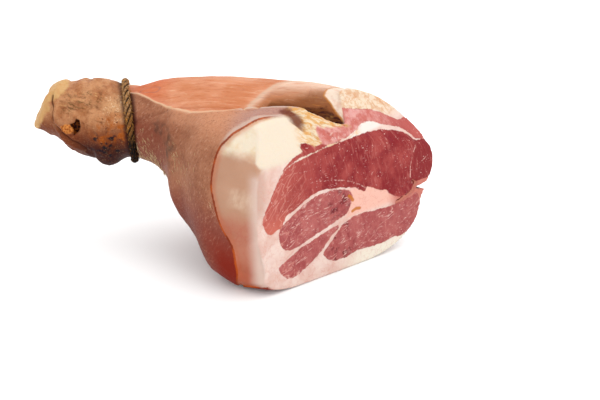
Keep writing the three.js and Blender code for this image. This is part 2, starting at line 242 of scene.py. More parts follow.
# The muscles at the cut, each outline as across and up from the corner.
MUSCLES = {
    "upper": [
        (11, 61), (4, 69), (2, 76), (4, 84), (9, 92), (14.5, 103), (19.5, 111), (26, 119), (40, 124.5),
        (57, 127), (75, 129), (96, 130.5), (118, 130.5), (134, 129), (146, 127.5), (161, 124.5), (177, 119),
        (187, 113), (193, 106), (207, 104), (213, 93), (219, 79), (220, 70), (210, 65.5), (198, 65),
        (189, 64), (187, 56.5), (180.5, 53), (172.5, 53.5), (163, 57), (156, 61.5), (151, 66.5),
        (141.5, 69.5), (134, 74), (127, 77), (124, 73), (118, 76), (112, 80), (105, 82), (96, 84.5),
        (84, 87), (72, 88.5), (60, 87), (49.5, 83.5), (39, 78), (29, 74.5), (24, 66), (18, 64.5),
    ],
    "strip": [
        (25, 120.5), (34, 126.6), (45, 130.4), (51, 132), (52, 136), (57, 138), (63, 136), (66, 133.5),
        (74, 133.6), (80, 132.5), (75, 130), (58, 128.5), (40, 125.8), (28, 121.2),
    ],
    "cap": [
        (115, 156), (126, 153), (136, 150), (147, 146.5), (159, 143.5), (170, 138), (179, 132), (190, 126),
        (203, 126), (212, 118), (212, 110), (206, 104.5), (194, 108), (191.5, 113), (183, 120.5),
        (171, 126), (158, 130.5), (147, 136), (135, 137), (127, 135.5), (114, 134), (104, 133),
        (96, 132.5), (86, 131.5), (78, 131.5), (74, 135), (72, 139), (73, 143), (78, 148), (90, 147),
        (98, 144.5), (110, 144), (117, 149),
    ],
    "inner": [
        (21, 54), (21, 61), (24, 66), (30.5, 70), (41, 75.5), (51, 80), (63, 84), (75, 85.5), (87, 84.5),
        (98, 82), (106, 78), (109, 73), (107.5, 66), (105, 60), (100, 55.5), (90, 53.5), (78, 49.5),
        (66, 46.5), (54, 42.5), (42, 40), (30, 40.5), (24, 45.5),
    ],
    "lower": [
        (21, 23), (23, 27), (33, 31.5), (45, 36.5), (60, 41), (75, 45), (89, 48), (92, 44.5), (83, 39),
        (78, 34), (71, 27), (63, 22), (51, 15.5), (42, 12), (33, 11), (27, 14),
    ],
    "shank": [
        (98, 47), (106, 49), (112, 51), (125, 51), (137, 50), (156, 48.5), (169, 48.5), (182, 50),
        (190, 53), (195, 46.5), (196.5, 38), (194, 28), (188.5, 21), (182, 16), (172, 13.5), (160.5, 15),
        (151, 13), (138, 13), (125, 14), (116, 14.5), (106.5, 12.5), (97, 11.5), (88, 12), (78.5, 17),
        (74, 23.5), (76.5, 27), (82, 32), (87, 37), (93.5, 43),
    ],
}
DEEPER_MUSCLES = ("inner", "lower", "shank")

# Lines of fat inside the lean, and the torn edges of the cleft, across and up.
FAT_LINES = {
    "arch": [(57, 100), (64, 99.7), (72, 97.6), (84, 95.5), (96, 91.6), (105, 88.3), (118, 81.5), (125, 76)],
    "streak": [(108, 73), (101, 73.2), (87, 70.8), (72, 69), (57, 67), (42, 62.6), (30, 61)],
    "edge": [(190, 106), (184.7, 96), (181.5, 84), (181.6, 72), (185, 64)],
    "nick": [(206, 88.7), (200.7, 86.4), (194, 83)],
    "squiggle": [(98, 133), (92, 134), (98, 138.5), (94, 140), (88, 138.5), (85, 133)],
    "seam": [(102, 131), (114, 133.5), (127, 135), (140, 136.5)],
}
CRACK = [(186, 66), (190, 63), (188, 59.5), (185, 55.5), (179, 53), (173, 51.5), (166, 50)]
MARROW = [(104, 74), (107.5, 71), (109.5, 68)]
MARROW_LOW = [(109, 57), (113.5, 58.5), (118, 57.5)]

# How fine the mesh is, and the rounds of smoothing for the solids' facets, the near edges and the
# creases of the cut, and for telling what is hollow.
VOXEL = 1.25 * MM
FACET_SMOOTHING = 22
EDGE_SMOOTHING = 50
CREASE_SMOOTHING = 12
HOLLOW_ROUNDS = 30

# Relief of the skin in millimetres: swells, ripples, pores, the step at the pared edge, the ridge's
# lip, the drop behind it, the grain of the skinless top, the fold's floor and the dried streaks.
RIND_WAVES = 0.9
RIND_RIPPLES = 0.25
RIND_PORES = 0.13
RIND_EDGE = 1.6
RIDGE_LIP = 1.6
RIDGE_DROP = 1.6
TOP_GRAIN = 0.5
FOLD_DEPTH = 2.5
DRIED_STREAKS = 0.7

# Relief of the cut: swells, ripples, the groove round each muscle, its rise, and the crack.
CUT_WAVES = 0.3
CUT_RIPPLES = 0.14
MUSCLE_GROOVE = 0.35
MUSCLE_RISE = 0.25
CRACK_DEPTH = 3.5

# Relief of the hock: wrinkles, the lip's groove and rise, the torn hole's rim and depth, the flap.
HOCK_WRINKLES = 0.8
LIP_GROOVE = 2.0
LIP_RISE = 0.9
TEAR_RIM = 1.0
TEAR_DEPTH = 3.5
FLAP_RISE = 1.8

# Strokes of the knife in the pared fat: middle, which way the stroke faces, and its reach.
KNIFE_STROKES = [
    ((-20, 0.5, 118), (-0.1, -1, 0.16), 40),
    ((-22, -1, 78), (-0.1, -1, -0.1), 30),
    ((-6, 12, 142), (0.1, -0.7, 0.7), 24),
    ((-10, 1, 40), (0.1, -1, -0.2), 30),
]


def add(name, data):
    piece = bpy.data.objects.new(name, data)
    bpy.context.scene.collection.objects.link(piece)
    return piece


def dress(mesh, material):
    """Gives a mesh smooth shading and its only material."""
    mesh.polygons.foreach_set("use_smooth", [True] * len(mesh.polygons))
    mesh.materials.clear()
    mesh.materials.append(material)


def store(mesh, name, values):
    """Keeps a number or a place for each corner, for a material to read by its name."""
    values = np.asarray(values, np.float32)
    kind, field = ("FLOAT_VECTOR", "vector") if values.ndim > 1 else ("FLOAT", "value")
    mesh.attributes.new(name, kind, "POINT").data.foreach_set(field, values.ravel())


def kept_inside(points):
    """Moves places back into the box of the frame's solids."""
    low, high = ((np.array(corner) - np.array(CORNER)) / MM for corner in cad_box)
    return np.clip(points, low, high)


def joined_frame_mesh(name, nodes):
    """The solids of some frame nodes, as one mesh with shared corners."""
    bm = bmesh.new()
    for node in nodes:
        bm.from_mesh(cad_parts[node].data)
    bmesh.ops.remove_doubles(bm, verts=bm.verts, dist=1e-6)
    mesh = bpy.data.meshes.new(name)
    bm.to_mesh(mesh)
    bm.free()
    return add(name, mesh)


def apply_modifiers(piece):
    graph = bpy.context.evaluated_depsgraph_get()
    made = bpy.data.meshes.new_from_object(piece.evaluated_get(graph))
    piece.modifiers.clear()
    old = piece.data
    piece.data = made
    bpy.data.meshes.remove(old)


def remesh(piece, size):
    modifier = piece.modifiers.new("fine", "REMESH")
    modifier.mode = "VOXEL"
    modifier.voxel_size = size
    apply_modifiers(piece)


class Surface:
    """A mesh's corners as an array, in millimetres from the corner of the cut."""

    def __init__(self, mesh):
        self.mesh = mesh
        self.count = len(mesh.vertices)
        flat = np.empty(self.count * 3, np.float32)
        mesh.vertices.foreach_get("co", flat)
        self.place = (flat.reshape(-1, 3).astype(float) - np.array(CORNER)) / MM
        ends = np.empty(len(mesh.edges) * 2, np.int32)
        mesh.edges.foreach_get("vertices", ends)
        self.here = ends
        self.there = ends.reshape(-1, 2)[:, ::-1].ravel()
        self.neighbours = np.maximum(np.bincount(self.here, minlength=self.count), 1)

    def averaged(self, values):
        """Each corner's value averaged over its neighbours."""
        columns = np.atleast_2d(values.T)
        sums = [np.bincount(self.here, column[self.there], self.count) for column in columns]
        mean = np.array(sums) / self.neighbours
        return mean.T if values.ndim > 1 else mean[0]

    def relax(self, share, rounds):
        """Smooths the surface where share is above zero."""
        for _ in range(rounds):
            self.place += share[:, None] * (self.averaged(self.place) - self.place) * 0.6

    def write(self):
        flat = (self.place * MM + np.array(CORNER)).astype(np.float32)
        self.mesh.vertices.foreach_set("co", flat.ravel())
        self.mesh.update()

    def outward(self):
        self.write()
        flat = np.empty(self.count * 3, np.float32)
        self.mesh.vertex_normals.foreach_get("vector", flat)
        return flat.reshape(-1, 3).astype(float)

    def hollowness(self, rounds):
        """How far each corner would move if the surface were smoothed."""
        spread = self.place.copy()
        for _ in range(rounds):
            spread = self.averaged(spread)
        return spread - self.place


# The studio light is brighter than daylight, so that the floor is white: colours are darker by
# this, and by the share of light that the moist surface throws back from its outside.
STUDIO = 1.54
SHINE = 0.010


def daylight(red, green, blue):
    """A colour seen in daylight, 0 to 255, as the share of the studio's light that it throws back."""
    channels = [c / 255 for c in (red, green, blue)]
    bright = [c / 12.92 if c <= 0.04 else ((c + 0.055) / 1.055) ** 2.4 for c in channels]
    return tuple(max(c - SHINE, 0.004) / STUDIO for c in bright)


class Paint:
    """Builds a material node by node; each call gives back an output to use in the next."""

    def __init__(self, name):
        self.material = bpy.data.materials.new(name)
        self.material.use_nodes = True
        self.nodes = self.material.node_tree.nodes
        self.nodes.clear()
        self.links = self.material.node_tree.links
        self.places = self.read("leg", "Vector")
        split = self.node("SeparateXYZ", {"Vector": self.places})
        self.x, self.y, self.z = split.outputs

    def node(self, kind, inputs, **settings):
        node = self.nodes.new("ShaderNode" + kind)
        for name, value in settings.items():
            setattr(node, name, value)
        for name, value in inputs.items():
            self.feed(node.inputs[name], value)
        return node

    def feed(self, socket, value):
        """Sets an input to a number, a colour, another node's output or a value stored by name."""
        if isinstance(value, str):
            value = self.read(value)
        if isinstance(value, bpy.types.NodeSocket):
            self.links.new(value, socket)
        elif isinstance(value, tuple) and len(value) == 3 and socket.type == "RGBA":
            socket.default_value = (*value, 1)
        else:
            socket.default_value = value

    def read(self, name, output="Fac"):
        return self.node("Attribute", {}, attribute_name=name).outputs[output]

    def math(self, operation, a, b=0.0):
        return self.node("Math", {0: a, 1: b}, operation=operation).outputs[0]

    def step(self, value, low, high):
        """0 below low and 1 above high, softly; low may be above high."""
        inputs = {"Value": value, "From Min": low, "From Max": high}
        return self.node("MapRange", inputs, interpolation_type="SMOOTHSTEP").outputs["Result"]

    def both(self, *shares):
        """All the shares multiplied together; three values stand for a step."""
        total, *others = (self.step(*share) if isinstance(share, tuple) else share for share in shares)
        for share in others:
            total = self.math("MULTIPLY", total, share)
        return total

    def mix(self, a, b, *shares):
        """Lays colour b over colour a; each is an output, or red, green and blue in daylight."""
        node = self.node("Mix", {}, data_type="RGBA")
        self.feed(node.inputs[0], self.both(*shares))
        for socket, colour in zip(node.inputs[6:8], (a, b)):
            self.feed(socket, daylight(*colour) if isinstance(colour, tuple) else colour)
        return node.outputs[2]

    def layers(self, colour, *over):
        """Lays one colour after another over the first; each comes with the shares it covers."""
        for layer in over:
            colour = self.mix(colour, *layer)
        return colour

    def mottle(self, a, b, size, seed, low=0.35, high=0.65, detail=3, roughness=0.6):
        """Two colours in random patches."""
        return self.mix(a, b, self.step(self.noise(size, detail, roughness, seed=seed), low, high))

    def noise(self, size, detail=2, roughness=0.5, stretch=None, seed=0, turn=(0, 0, 0), warp=0,
              places=None):
        """Random patches about size millimetres across, 0 to 1, stretched along turned axes."""
        at = places or self.places
        if stretch:
            inputs = {"Vector": at, "Rotation": turn, "Scale": stretch}
            at = self.node("Mapping", inputs, vector_type="TEXTURE").outputs[0]
        inputs = {"Vector": at, "W": seed, "Scale": 1 / size, "Detail": detail, "Roughness": roughness}
        inputs["Distortion"] = warp
        return self.node("TexNoise", inputs, noise_dimensions="4D").outputs["Fac"]

    def patches(self, size, share, soft=0.06, **noise):
        """Scattered patches that cover about a share of the surface."""
        edge = 0.5 + (0.5 - share) * 0.42
        return self.step(self.noise(size, **noise), edge, edge + soft)

    def threads(self, size, width, **noise):
        """Thin winding lines, where smooth noise passes its middle."""
        value = self.noise(size, **noise)
        return self.step(self.math("ABSOLUTE", self.math("SUBTRACT", value, 0.5)), width, 0.0)

    def uneven(self, size, reach, seed):
        """Random millimetres, up or down, that make a border ragged."""
        value = self.noise(size, 3, 0.6, seed=seed)
        return self.math("MULTIPLY", self.math("SUBTRACT", value, 0.5), 2 * reach)

    def ragged(self, name, size, reach, seed):
        """A distance stored by name, with its border made ragged."""
        return self.math("ADD", name, self.uneven(size, reach, seed))

    def near(self, place, reach, soft=0.5):
        """1 around a place on the leg and 0 beyond reach millimetres."""
        away = self.node("VectorMath", {0: self.places, 1: place}, operation="DISTANCE")
        return self.step(away.outputs["Value"], reach, reach * soft)

    def finish(self, colour, roughness, height, distance, **settings):
        bump = self.node("Bump", {"Height": height, "Distance": distance, "Strength": 1.0})
        inputs = {"Base Color": colour, "Roughness": roughness, "Normal": bump.outputs[0]}
        inputs.update({name.replace("_", " "): value for name, value in settings.items()})
        shader = self.node("BsdfPrincipled", inputs, subsurface_method="RANDOM_WALK")
        self.node("OutputMaterial", {"Surface": shader.outputs[0]})
        return self.material


def rind_look(paint):
    """Tanned skin: pink brown, paler by the ridge, mauve lower down and orange where it is glossy."""
    z = paint.z
    neck = paint.both((paint.x, -92, -118), (z, 150, 128))
    streaks = paint.noise(1.6, 4, 0.7, (1, 1, 3), 3, (0, 0.5, 0))
    smudge = paint.both(("smudge", 12, 1), paint.patches(7, 0.85, 0.4, seed=2))
    specks = paint.patches(1.3, 0.24, 0.1, seed=5)
    gloss = paint.both((z, 70, 30), ("pared", -36, -12))
    return paint.layers(
        paint.mottle((188, 128, 97), (164, 105, 78), 26, 1),
        ((212, 148, 113), (z, 138, 158), (paint.x, -140, -90)),
        ((192, 142, 126), (z, 146, 156), (paint.x, -50, -20)),
        ((150, 82, 68), (z, 108, 60)),
        ((124, 58, 44), (z, 84, 40), ("pared", -20, -50)),
        ((146, 82, 62), neck),
        ((112, 58, 46), (streaks, 0.5, 0.76), 0.6),
        ((236, 188, 158), (streaks, 0.48, 0.24), 0.5),
        ((88, 66, 54), smudge, 0.95),
        ((98, 48, 40), specks, 0.5),
        ((142, 44, 0), gloss, 0.97),
    )


def hock_look(paint):
    """Rough brown skin with olive streaks above, orange and black stains and painted shade below, and a pale
    stub.
    """
    x, z = paint.x, paint.z
    streak = paint.noise(2.2, 3, 0.65, (3.2, 1, 1), 8, (0, 0.35, 0))
    olive = paint.step("olive", 13, 4)
    orange = paint.both(paint.near(ORANGE_STAIN, 31, 0.4), paint.patches(7, 0.8, 0.3, seed=9))
    underside_shade = paint.both((z, 118, 100), (x, -216, -190))
    blots = paint.patches(4.5, 0.34, 0.05, seed=10, stretch=(1.5, 1, 1))
    pale = paint.both(paint.patches(1.7, 0.3, 0.06, seed=11), paint.near(PEACH, 22, 0.3))
    pits = paint.patches(2, 0.26, 0.06, seed=13)
    grain = paint.noise(1.5, 4, 0.7, seed=15)
    smears = paint.noise(6, 4, 0.65, (1.8, 1, 1), 12, (0, 0.4, 0), 0.8)
    stub = paint.ragged("stub", 8, 5, 16)
    stub = paint.math("SUBTRACT", stub, paint.math("MULTIPLY", paint.step(z, 140, 152), 10))
    rim = paint.step(stub, 6, 2)
    cream = paint.mix((236, 196, 138), (206, 146, 88), paint.noise(3, 3, 0.6, (1, 1, 5), 17))
    flap = paint.mottle((228, 146, 76), (160, 84, 38), 1.6, 18, 0.4, 0.6, detail=2)
    tear = paint.ragged("tear", 2, 0.8, 19)
    inner = paint.mottle((66, 26, 10), (158, 84, 36), 2.5, 21, 0.46, 0.6, detail=2)
    return paint.layers(
        paint.mottle((212, 152, 108), (182, 118, 78), 11, 7, 0.38, 0.62),
        ((228, 174, 126), paint.near(PEACH, 20, 0.2), 0.8),
        ((132, 70, 44), (z, 134, 112)),
        ((104, 80, 46), olive, (streak, 0.5, 0.64), 0.7),
        ((232, 184, 120), olive, (streak, 0.45, 0.32), 0.7),
        ((186, 96, 22), orange),
        # Painted shade: dark brown along the hock's underside, towards the string.
        ((60, 27, 17), underside_shade, 0.9),
        ((34, 26, 42), blots, paint.near(MOULD_MIDDLE, 23, 0.5), 0.85),
        ((26, 22, 38), ("mould", 0.18, 0.5), 0.9),
        ((250, 212, 172), pale, 0.75),
        ((80, 26, 18), pits, paint.near(PITTED, 15, 0.4), 0.9),
        ((238, 188, 136), (grain, 0.54, 0.76), 0.55),
        ((76, 38, 24), (grain, 0.47, 0.26), 0.7),
        ((112, 60, 38), (smears, 0.54, 0.7), 0.6),
        (cream, rim),
        # Painted shade in the groove along the skin's raised lip.
        ((84, 44, 28), ("lip", 1.5, 0.2), 0.85),
        (flap, ("flap", -0.6, 0.6)),
        # The torn hole's inside: its own brown and orange, darkened by painted shade down in the hole.
        (inner, (tear, -0.4, 0.6)),
    )


def bare_top_look(paint):
    """Skinless muscle dried in the air: salmon with grain along the leg, browner past a pale line."""
    far = paint.step(paint.math("ADD", paint.x, paint.math("MULTIPLY", paint.y, -0.35)), -68, -54)
    # Paler up the far wall and browner down towards the fold's floor: the dried meat's tan, with a painted
    # highlight higher up and painted shade near the floor.
    brown = paint.mix((246, 206, 180), (196, 130, 92), ("fold", 40, 10))
    grain = paint.noise(2.3, 4, 0.65, (6, 1, 1), 22, (0, 0, 0.12), 0.3)
    broad = paint.noise(9, 3, 0.6, (4, 1, 1), 20, (0, 0, 0.15))
    vein = paint.both(
        paint.threads(34, 0.008, seed=23, stretch=(1.6, 1, 1), warp=0.5),
        paint.patches(26, 0.5, 0.1, seed=24),
    )
    line = paint.step(paint.ragged("lobe_line", 6, 0.8, 25), 3.4, 0.2)
    return paint.layers(
        paint.mottle((232, 160, 122), (216, 136, 94), 30, 21, detail=2, roughness=0.5),
        ((222, 124, 84), (paint.x, -110, -142)),
        ((226, 150, 118), (paint.z, 154, 148)),
        (brown, far),
        ((180, 92, 46), (grain, 0.5, 0.74), 0.5),
        ((252, 208, 172), (grain, 0.46, 0.26), 0.5),
        ((214, 116, 66), (broad, 0.54, 0.72), 0.5),
        ((150, 112, 108), vein, 0.45),
        ((224, 190, 164), line, 0.7),
    )


def fold_look(paint, colour):
    """The fold is dark brown along its floor and darkest at its mouth, in painted shade, with an orange
    edge.
    """
    mouth = paint.ragged("mouth", 5, 0.35, 26)
    on_wall = paint.step("fold", -3, -1)
    streak = paint.noise(1.8, 3, 0.6, (10, 1, 1), 27, (0, 0, 0.25))
    dark = paint.mix((116, 66, 36), (70, 34, 18), (streak, 0.4, 0.6))
    cream = paint.mottle((250, 228, 208), (238, 200, 178), 7, 30, 0.4, 0.65)
    edge = paint.step(paint.math("ABSOLUTE", "far_front"), 1.3, 0.3)
    return paint.layers(
        colour,
        # Painted shade in the fold: brown, then almost black towards its mouth; the golden streaks are the
        # meat's own colour.
        ((140, 82, 46), (mouth, 2.8, 1.2), on_wall, 0.85),
        ((196, 126, 66), (mouth, 2.6, 1.2), on_wall, (streak, 0.54, 0.7), 0.6),
        (dark, (mouth, 1.15, 0.85), on_wall),
        (cream, (paint.ragged("far_front", 4, 1, 28), -0.3, 0.6)),
        ((206, 136, 66), edge, on_wall, 0.7),
    )


def dried_look(paint, colour):
    """The near lobe dries to cream and orange streaks by the fold, under a dark brown patch."""
    streak = paint.noise(2.6, 4, 0.6, (3, 1, 1), 29, (0, 0.5, 0.6), 0.5)
    dried = paint.layers(
        (244, 224, 192),
        ((222, 162, 100), (streak, 0.42, 0.62)),
        ((150, 92, 62), (streak, 0.6, 0.7), 0.8),
        ((196, 124, 58), ("fold", -4.5, -1.5), 0.7),
    )
    edge = paint.ragged("dried", 4, 2.2, 28)
    golden = paint.both((edge, -15, -2), (streak, 0.36, 0.62), (paint.x, -6, 8))
    patch = paint.ragged("dark_patch", 5, 2.5, 33)
    return paint.layers(
        colour,
        (dried, (edge, -1.5, 1)),
        ((236, 176, 98), golden, ("lean", 0, -1), 0.7),
        ((118, 56, 40), (patch, 9, 2), ("pared", 0.5, -0.5), 0.9),
    )


def pared_look(paint):
    """Fat where the rind is pared off: cream on the shoulder, beige where it is thin, pink below."""
    z = paint.math("ADD", paint.z, paint.uneven(12, 5, 31))
    cream = paint.mottle((246, 230, 206), (240, 216, 182), 9, 35, 0.4, 0.65)
    streak = paint.noise(4, 3, 0.6, (1, 1, 2.2), 33, (0, 0.3, 0))
    bright = paint.both((z, 84, 94), (z, 110, 101), (paint.x, -36, -22))
    veins = paint.threads(9, 0.03, seed=34, stretch=(1, 1, 1.6), warp=0.5)
    edge = paint.step(paint.x, -16, -2)
    reddened = paint.step("pared", 6, 0.5)
    bottom = paint.step(paint.math("ADD", paint.z, paint.uneven(14, 2, 68)), 5, 1.5)
    return paint.layers(
        paint.mix((212, 166, 138), (196, 148, 120), paint.noise(18, 2, 0.5, seed=32)),
        (cream, (z, 131, 143)),
        # Painted highlight: a paler streaky patch where a knife facet catches the light.
        ((240, 212, 186), bright, (streak, 0.15, 0.75), 0.7),
        ((200, 130, 106), (z, 88, 66)),
        ((192, 106, 80), (z, 44, 16), (paint.x, 4, -16)),
        ((198, 104, 88), veins, (z, 90, 60), 0.3),
        ((232, 202, 188), edge, (z, 128, 116)),
        ((206, 116, 82), reddened, (paint.x, 4, -10), 0.5),
        # Partly the rind, partly painted shade: a dark red brown strip along the very bottom, where the leg
        # rounds under to the floor.
        ((112, 44, 30), bottom, (paint.x, 16, 2), 0.9),
    )


def cut_fat_look(paint, across, up):
    """Fat on the cut: pinkish white, cream on the shoulder and along the bottom."""
    top = paint.both((up, 128, 140), (across, 96, 112))
    mottled = paint.mottle((248, 226, 200), (232, 188, 152), 6, 38, 0.42, 0.62, roughness=0.65)
    golden = paint.both(
        (across, 60, 82), (across, 96, 88), (up, 124, 130), (paint.noise(8, 3, 0.6, seed=40), 0.35, 0.6),
    )
    threads = paint.threads(7, 0.03, seed=37, warp=0.5)
    cleft = paint.both((across, 150, 168), (up, 44, 48), (up, 74, 68))
    seam = paint.both((across, 88, 112), (across, 176, 158), (up, 127, 130.5), (up, 143, 139))
    return paint.layers(
        paint.mottle((250, 224, 212), (238, 198, 184), 15, 36),
        ((222, 184, 168), (up, 66, 92), (across, 10, 0)),
        ((246, 230, 208), (up, 122, 131), (across, 88, 72)),
        (mottled, top),
        ((222, 150, 92), top, paint.threads(7, 0.035, seed=39, stretch=(2, 1, 1), warp=0.6), 0.55),
        ((240, 200, 152), golden, 0.6),
        ((255, 200, 182), (up, 48, 56), (across, 96, 108), (up, 84, 76)),
        ((255, 246, 228), (up, 24, 8), (across, 84, 130)),
        ((226, 150, 136), threads, (up, 122, 108), 0.3),
        ((204, 112, 98), cleft, 0.85),
        ((255, 244, 236), seam, 0.9),
    )


def lean_look(paint, across, up, face):
    """Cured lean: red above, mauve in the deeper muscles, with specks and threads of fat."""
    deep = paint.step("deeper", -1, 0.6)
    purple = paint.both(paint.patches(7, 0.42, 0.15, seed=43), (across, 120, 100), (across, 74, 84))
    deeper = paint.mix(paint.mottle((172, 84, 84), (192, 108, 104), 12, 42), (112, 34, 44), purple, 0.8)
    cap = paint.mottle((236, 174, 166), (208, 116, 106), 9, 44, roughness=0.65)
    cap = paint.mix(cap, (196, 100, 94), (across, 150, 190))
    fibres = paint.noise(2, 4, 0.65, (1, 6, 1), 53, (0, 0, 0.25), places=face)
    along = paint.threads(5.5, 0.035, seed=45, stretch=(4, 1, 1), turn=(0, 0, 0.3), warp=0.3, places=face)
    crossing = paint.threads(4.5, 0.03, seed=47, warp=0.8, places=face)
    feather = paint.threads(7, 0.03, seed=49, stretch=(3, 1, 1), turn=(0, 0, 0.75), warp=0.3, places=face)
    short = paint.threads(3.4, 0.05, seed=54, warp=1, places=face)
    specks = paint.patches(1.5, 0.15, 0.06, seed=50, stretch=(1.6, 1, 1), places=face)
    return paint.layers(
        paint.mottle((146, 46, 50), (178, 78, 74), 18, 41),
        ((142, 46, 58), paint.patches(12, 0.35, 0.2, seed=52), (across, 40, 80), 0.6),
        ((196, 100, 90), (across, 64, 8)),
        ((212, 114, 98), (up, 84, 64), (across, 40, 24)),
        ((148, 52, 54), (across, 182, 190)),
        (deeper, deep),
        (cap, ("cap", -1, 0.8)),
        ((228, 144, 132), (fibres, 0.5, 0.76), 0.45),
        ((120, 32, 38), (fibres, 0.44, 0.26), 0.35),
        ((242, 192, 180), along, paint.patches(8, 0.6, 0.2, seed=46), deep, 0.9),
        ((240, 190, 180), crossing, paint.patches(6, 0.45, 0.2, seed=48), deep, 0.7),
        ((238, 168, 152), feather, (across, 60, 30), 0.5),
        ((248, 200, 190), short, paint.patches(3.2, 0.22, 0.1, seed=55, places=face), 0.9),
        ((250, 206, 196), specks, paint.patches(12, 0.8, 0.3, seed=51), 0.9),
    )


def skin_colour(paint, fine):
    """The colour of everything round the cut: hock, rind, skinless top and pared fat."""
    bare = paint.math("ADD", "bare_top", fine)
    pared = paint.math("ADD", "pared", fine)
    # Painted highlight: a pale peach line along the rind's upper edge, where it meets the skinless top.
    ridge = paint.ragged("bare_top", 10, 0.7, 69)
    ridge = paint.step(paint.math("ABSOLUTE", paint.math("ADD", ridge, 0.8)), 2.6, 0.2)
    # Painted highlight: a pale line along the crests of the near lobe's top, where the surface bulges out.
    crest_highlight = paint.both(("hollow", -0.25, -0.8), (paint.x, -44, -34), ("bare_top", 1, -1))
    orange = paint.step(paint.math("ABSOLUTE", paint.math("ADD", pared, 0.4)), 1, 0.3)
    tone = paint.mottle((196, 92, 40), (140, 56, 22), 14, 67, 0.4, 0.6, detail=2, roughness=0.5)
    colour = paint.layers(
        rind_look(paint),
        (hock_look(paint), ("past_string", 1, -1)),
        # Painted shade: dark brown on the skin close round the string, where it presses in.
        ((60, 30, 20), ("tied", 9.5, 4.5), 0.85),
        (bare_top_look(paint), (bare, -0.6, 0.6)),
        ((248, 206, 168), ridge, (paint.x, 10, -50), 0.7),
        ((222, 194, 178), crest_highlight, (paint.z, 128, 134), 0.7),
    )
    colour = paint.layers(
        fold_look(paint, colour),
        (pared_look(paint), (pared, -0.4, 0.4)),
        (tone, orange, (paint.x, 2, -12), 0.9),
    )
    return dried_look(paint, colour)


def ham_material():
    paint = Paint("ham_rind_fat_and_lean")
    face = paint.read("face", "Vector")
    across, up = paint.node("SeparateXYZ", {"Vector": face}).outputs[:2]
    fine = paint.uneven(1.6, 0.5, 61)
    lean = paint.math("ADD", "lean", paint.math("ADD", paint.uneven(5, 1.8, 62), fine))
    cut = paint.read("cut")
    colour = paint.layers(
        skin_colour(paint, fine),
        (cut_fat_look(paint, across, up), cut),
        (lean_look(paint, across, up, face), (lean, -0.5, 0.4), (cut, 0.3, 0.8)),
    )
    for name in FAT_LINES:
        line = paint.step(paint.ragged("line_" + name, 3, 0.5, 63), 0.9, 0.1)
        colour = paint.mix(colour, (238, 186, 174), line, cut, paint.patches(4, 0.7, 0.2, seed=64))
    for name in ("line_marrow", "line_marrow_low"):
        colour = paint.mix(colour, (206, 122, 50), (name, 2.2, 1), cut, 0.9)
    crack = paint.ragged("line_crack", 2, 0.8, 65)
    colour = paint.layers(
        dried_look(paint, colour),
        ((240, 160, 134), (crack, 2, 1.2), cut, 0.5),
        # Painted shade: dark red down in the crack, under its torn edges.
        ((112, 26, 26), (crack, 0.9, 0.3), cut),
    )
    grain = paint.noise(1.2, 3, 0.6, seed=66)
    roughness = paint.node("MapRange", {"Value": grain, "To Min": 0.4, "To Max": 0.62}).outputs[0]
    return paint.finish(
        colour, roughness, grain, 0.0005, Subsurface_Weight=0.1,
        Subsurface_Radius=(0.005, 0.002, 0.001), Subsurface_Scale=1, Specular_IOR_Level=0.08,
    )


def knife_facets(skin, pared):
    """Flat strokes of the knife in the pared fat: each takes off what stands above its plane."""
    for place, facing, reach in KNIFE_STROKES:
        toward = np.array(facing, float)
        toward /= np.linalg.norm(toward)
        away = skin.place - np.array(place)
        near = smooth(np.linalg.norm(away, axis=1), reach, 0.6 * reach)
        skin.place -= (np.clip(away @ toward, 0, 4) * near * smooth(pared, 0, 2))[:, None] * toward


def measure_face(place, where):
    """How far inside each muscle, and how near each line of fat, the corners on the cut lie."""
    near = where["behind"] > -8
    face = on_face(place[near])

    def spread(values, elsewhere):
        full = np.full(len(place), float(elsewhere))
        full[near] = values
        return full

    for name, outline in MUSCLES.items():
        where[name] = spread(depth_in(face, rounded(outline, 3)), -30)
    where["lean"] = np.max([where[name] for name in MUSCLES], axis=0)
    where["deeper"] = np.max([where[name] for name in DEEPER_MUSCLES], axis=0)
    for name, line in {**FAT_LINES, "crack": CRACK, "marrow": MARROW, "marrow_low": MARROW_LOW}.items():
        where["line_" + name] = spread(distance_to_line(face, line), 30)


def from_string(place):
    """How far places are from the middle line of the string's ring, and how far past its plane."""
    flat = (place - np.array(STRING_MIDDLE)) @ STRING_AXES
    return np.hypot(np.hypot(flat[:, 0], flat[:, 1]) - STRING_REACH, flat[:, 2]), flat[:, 2]


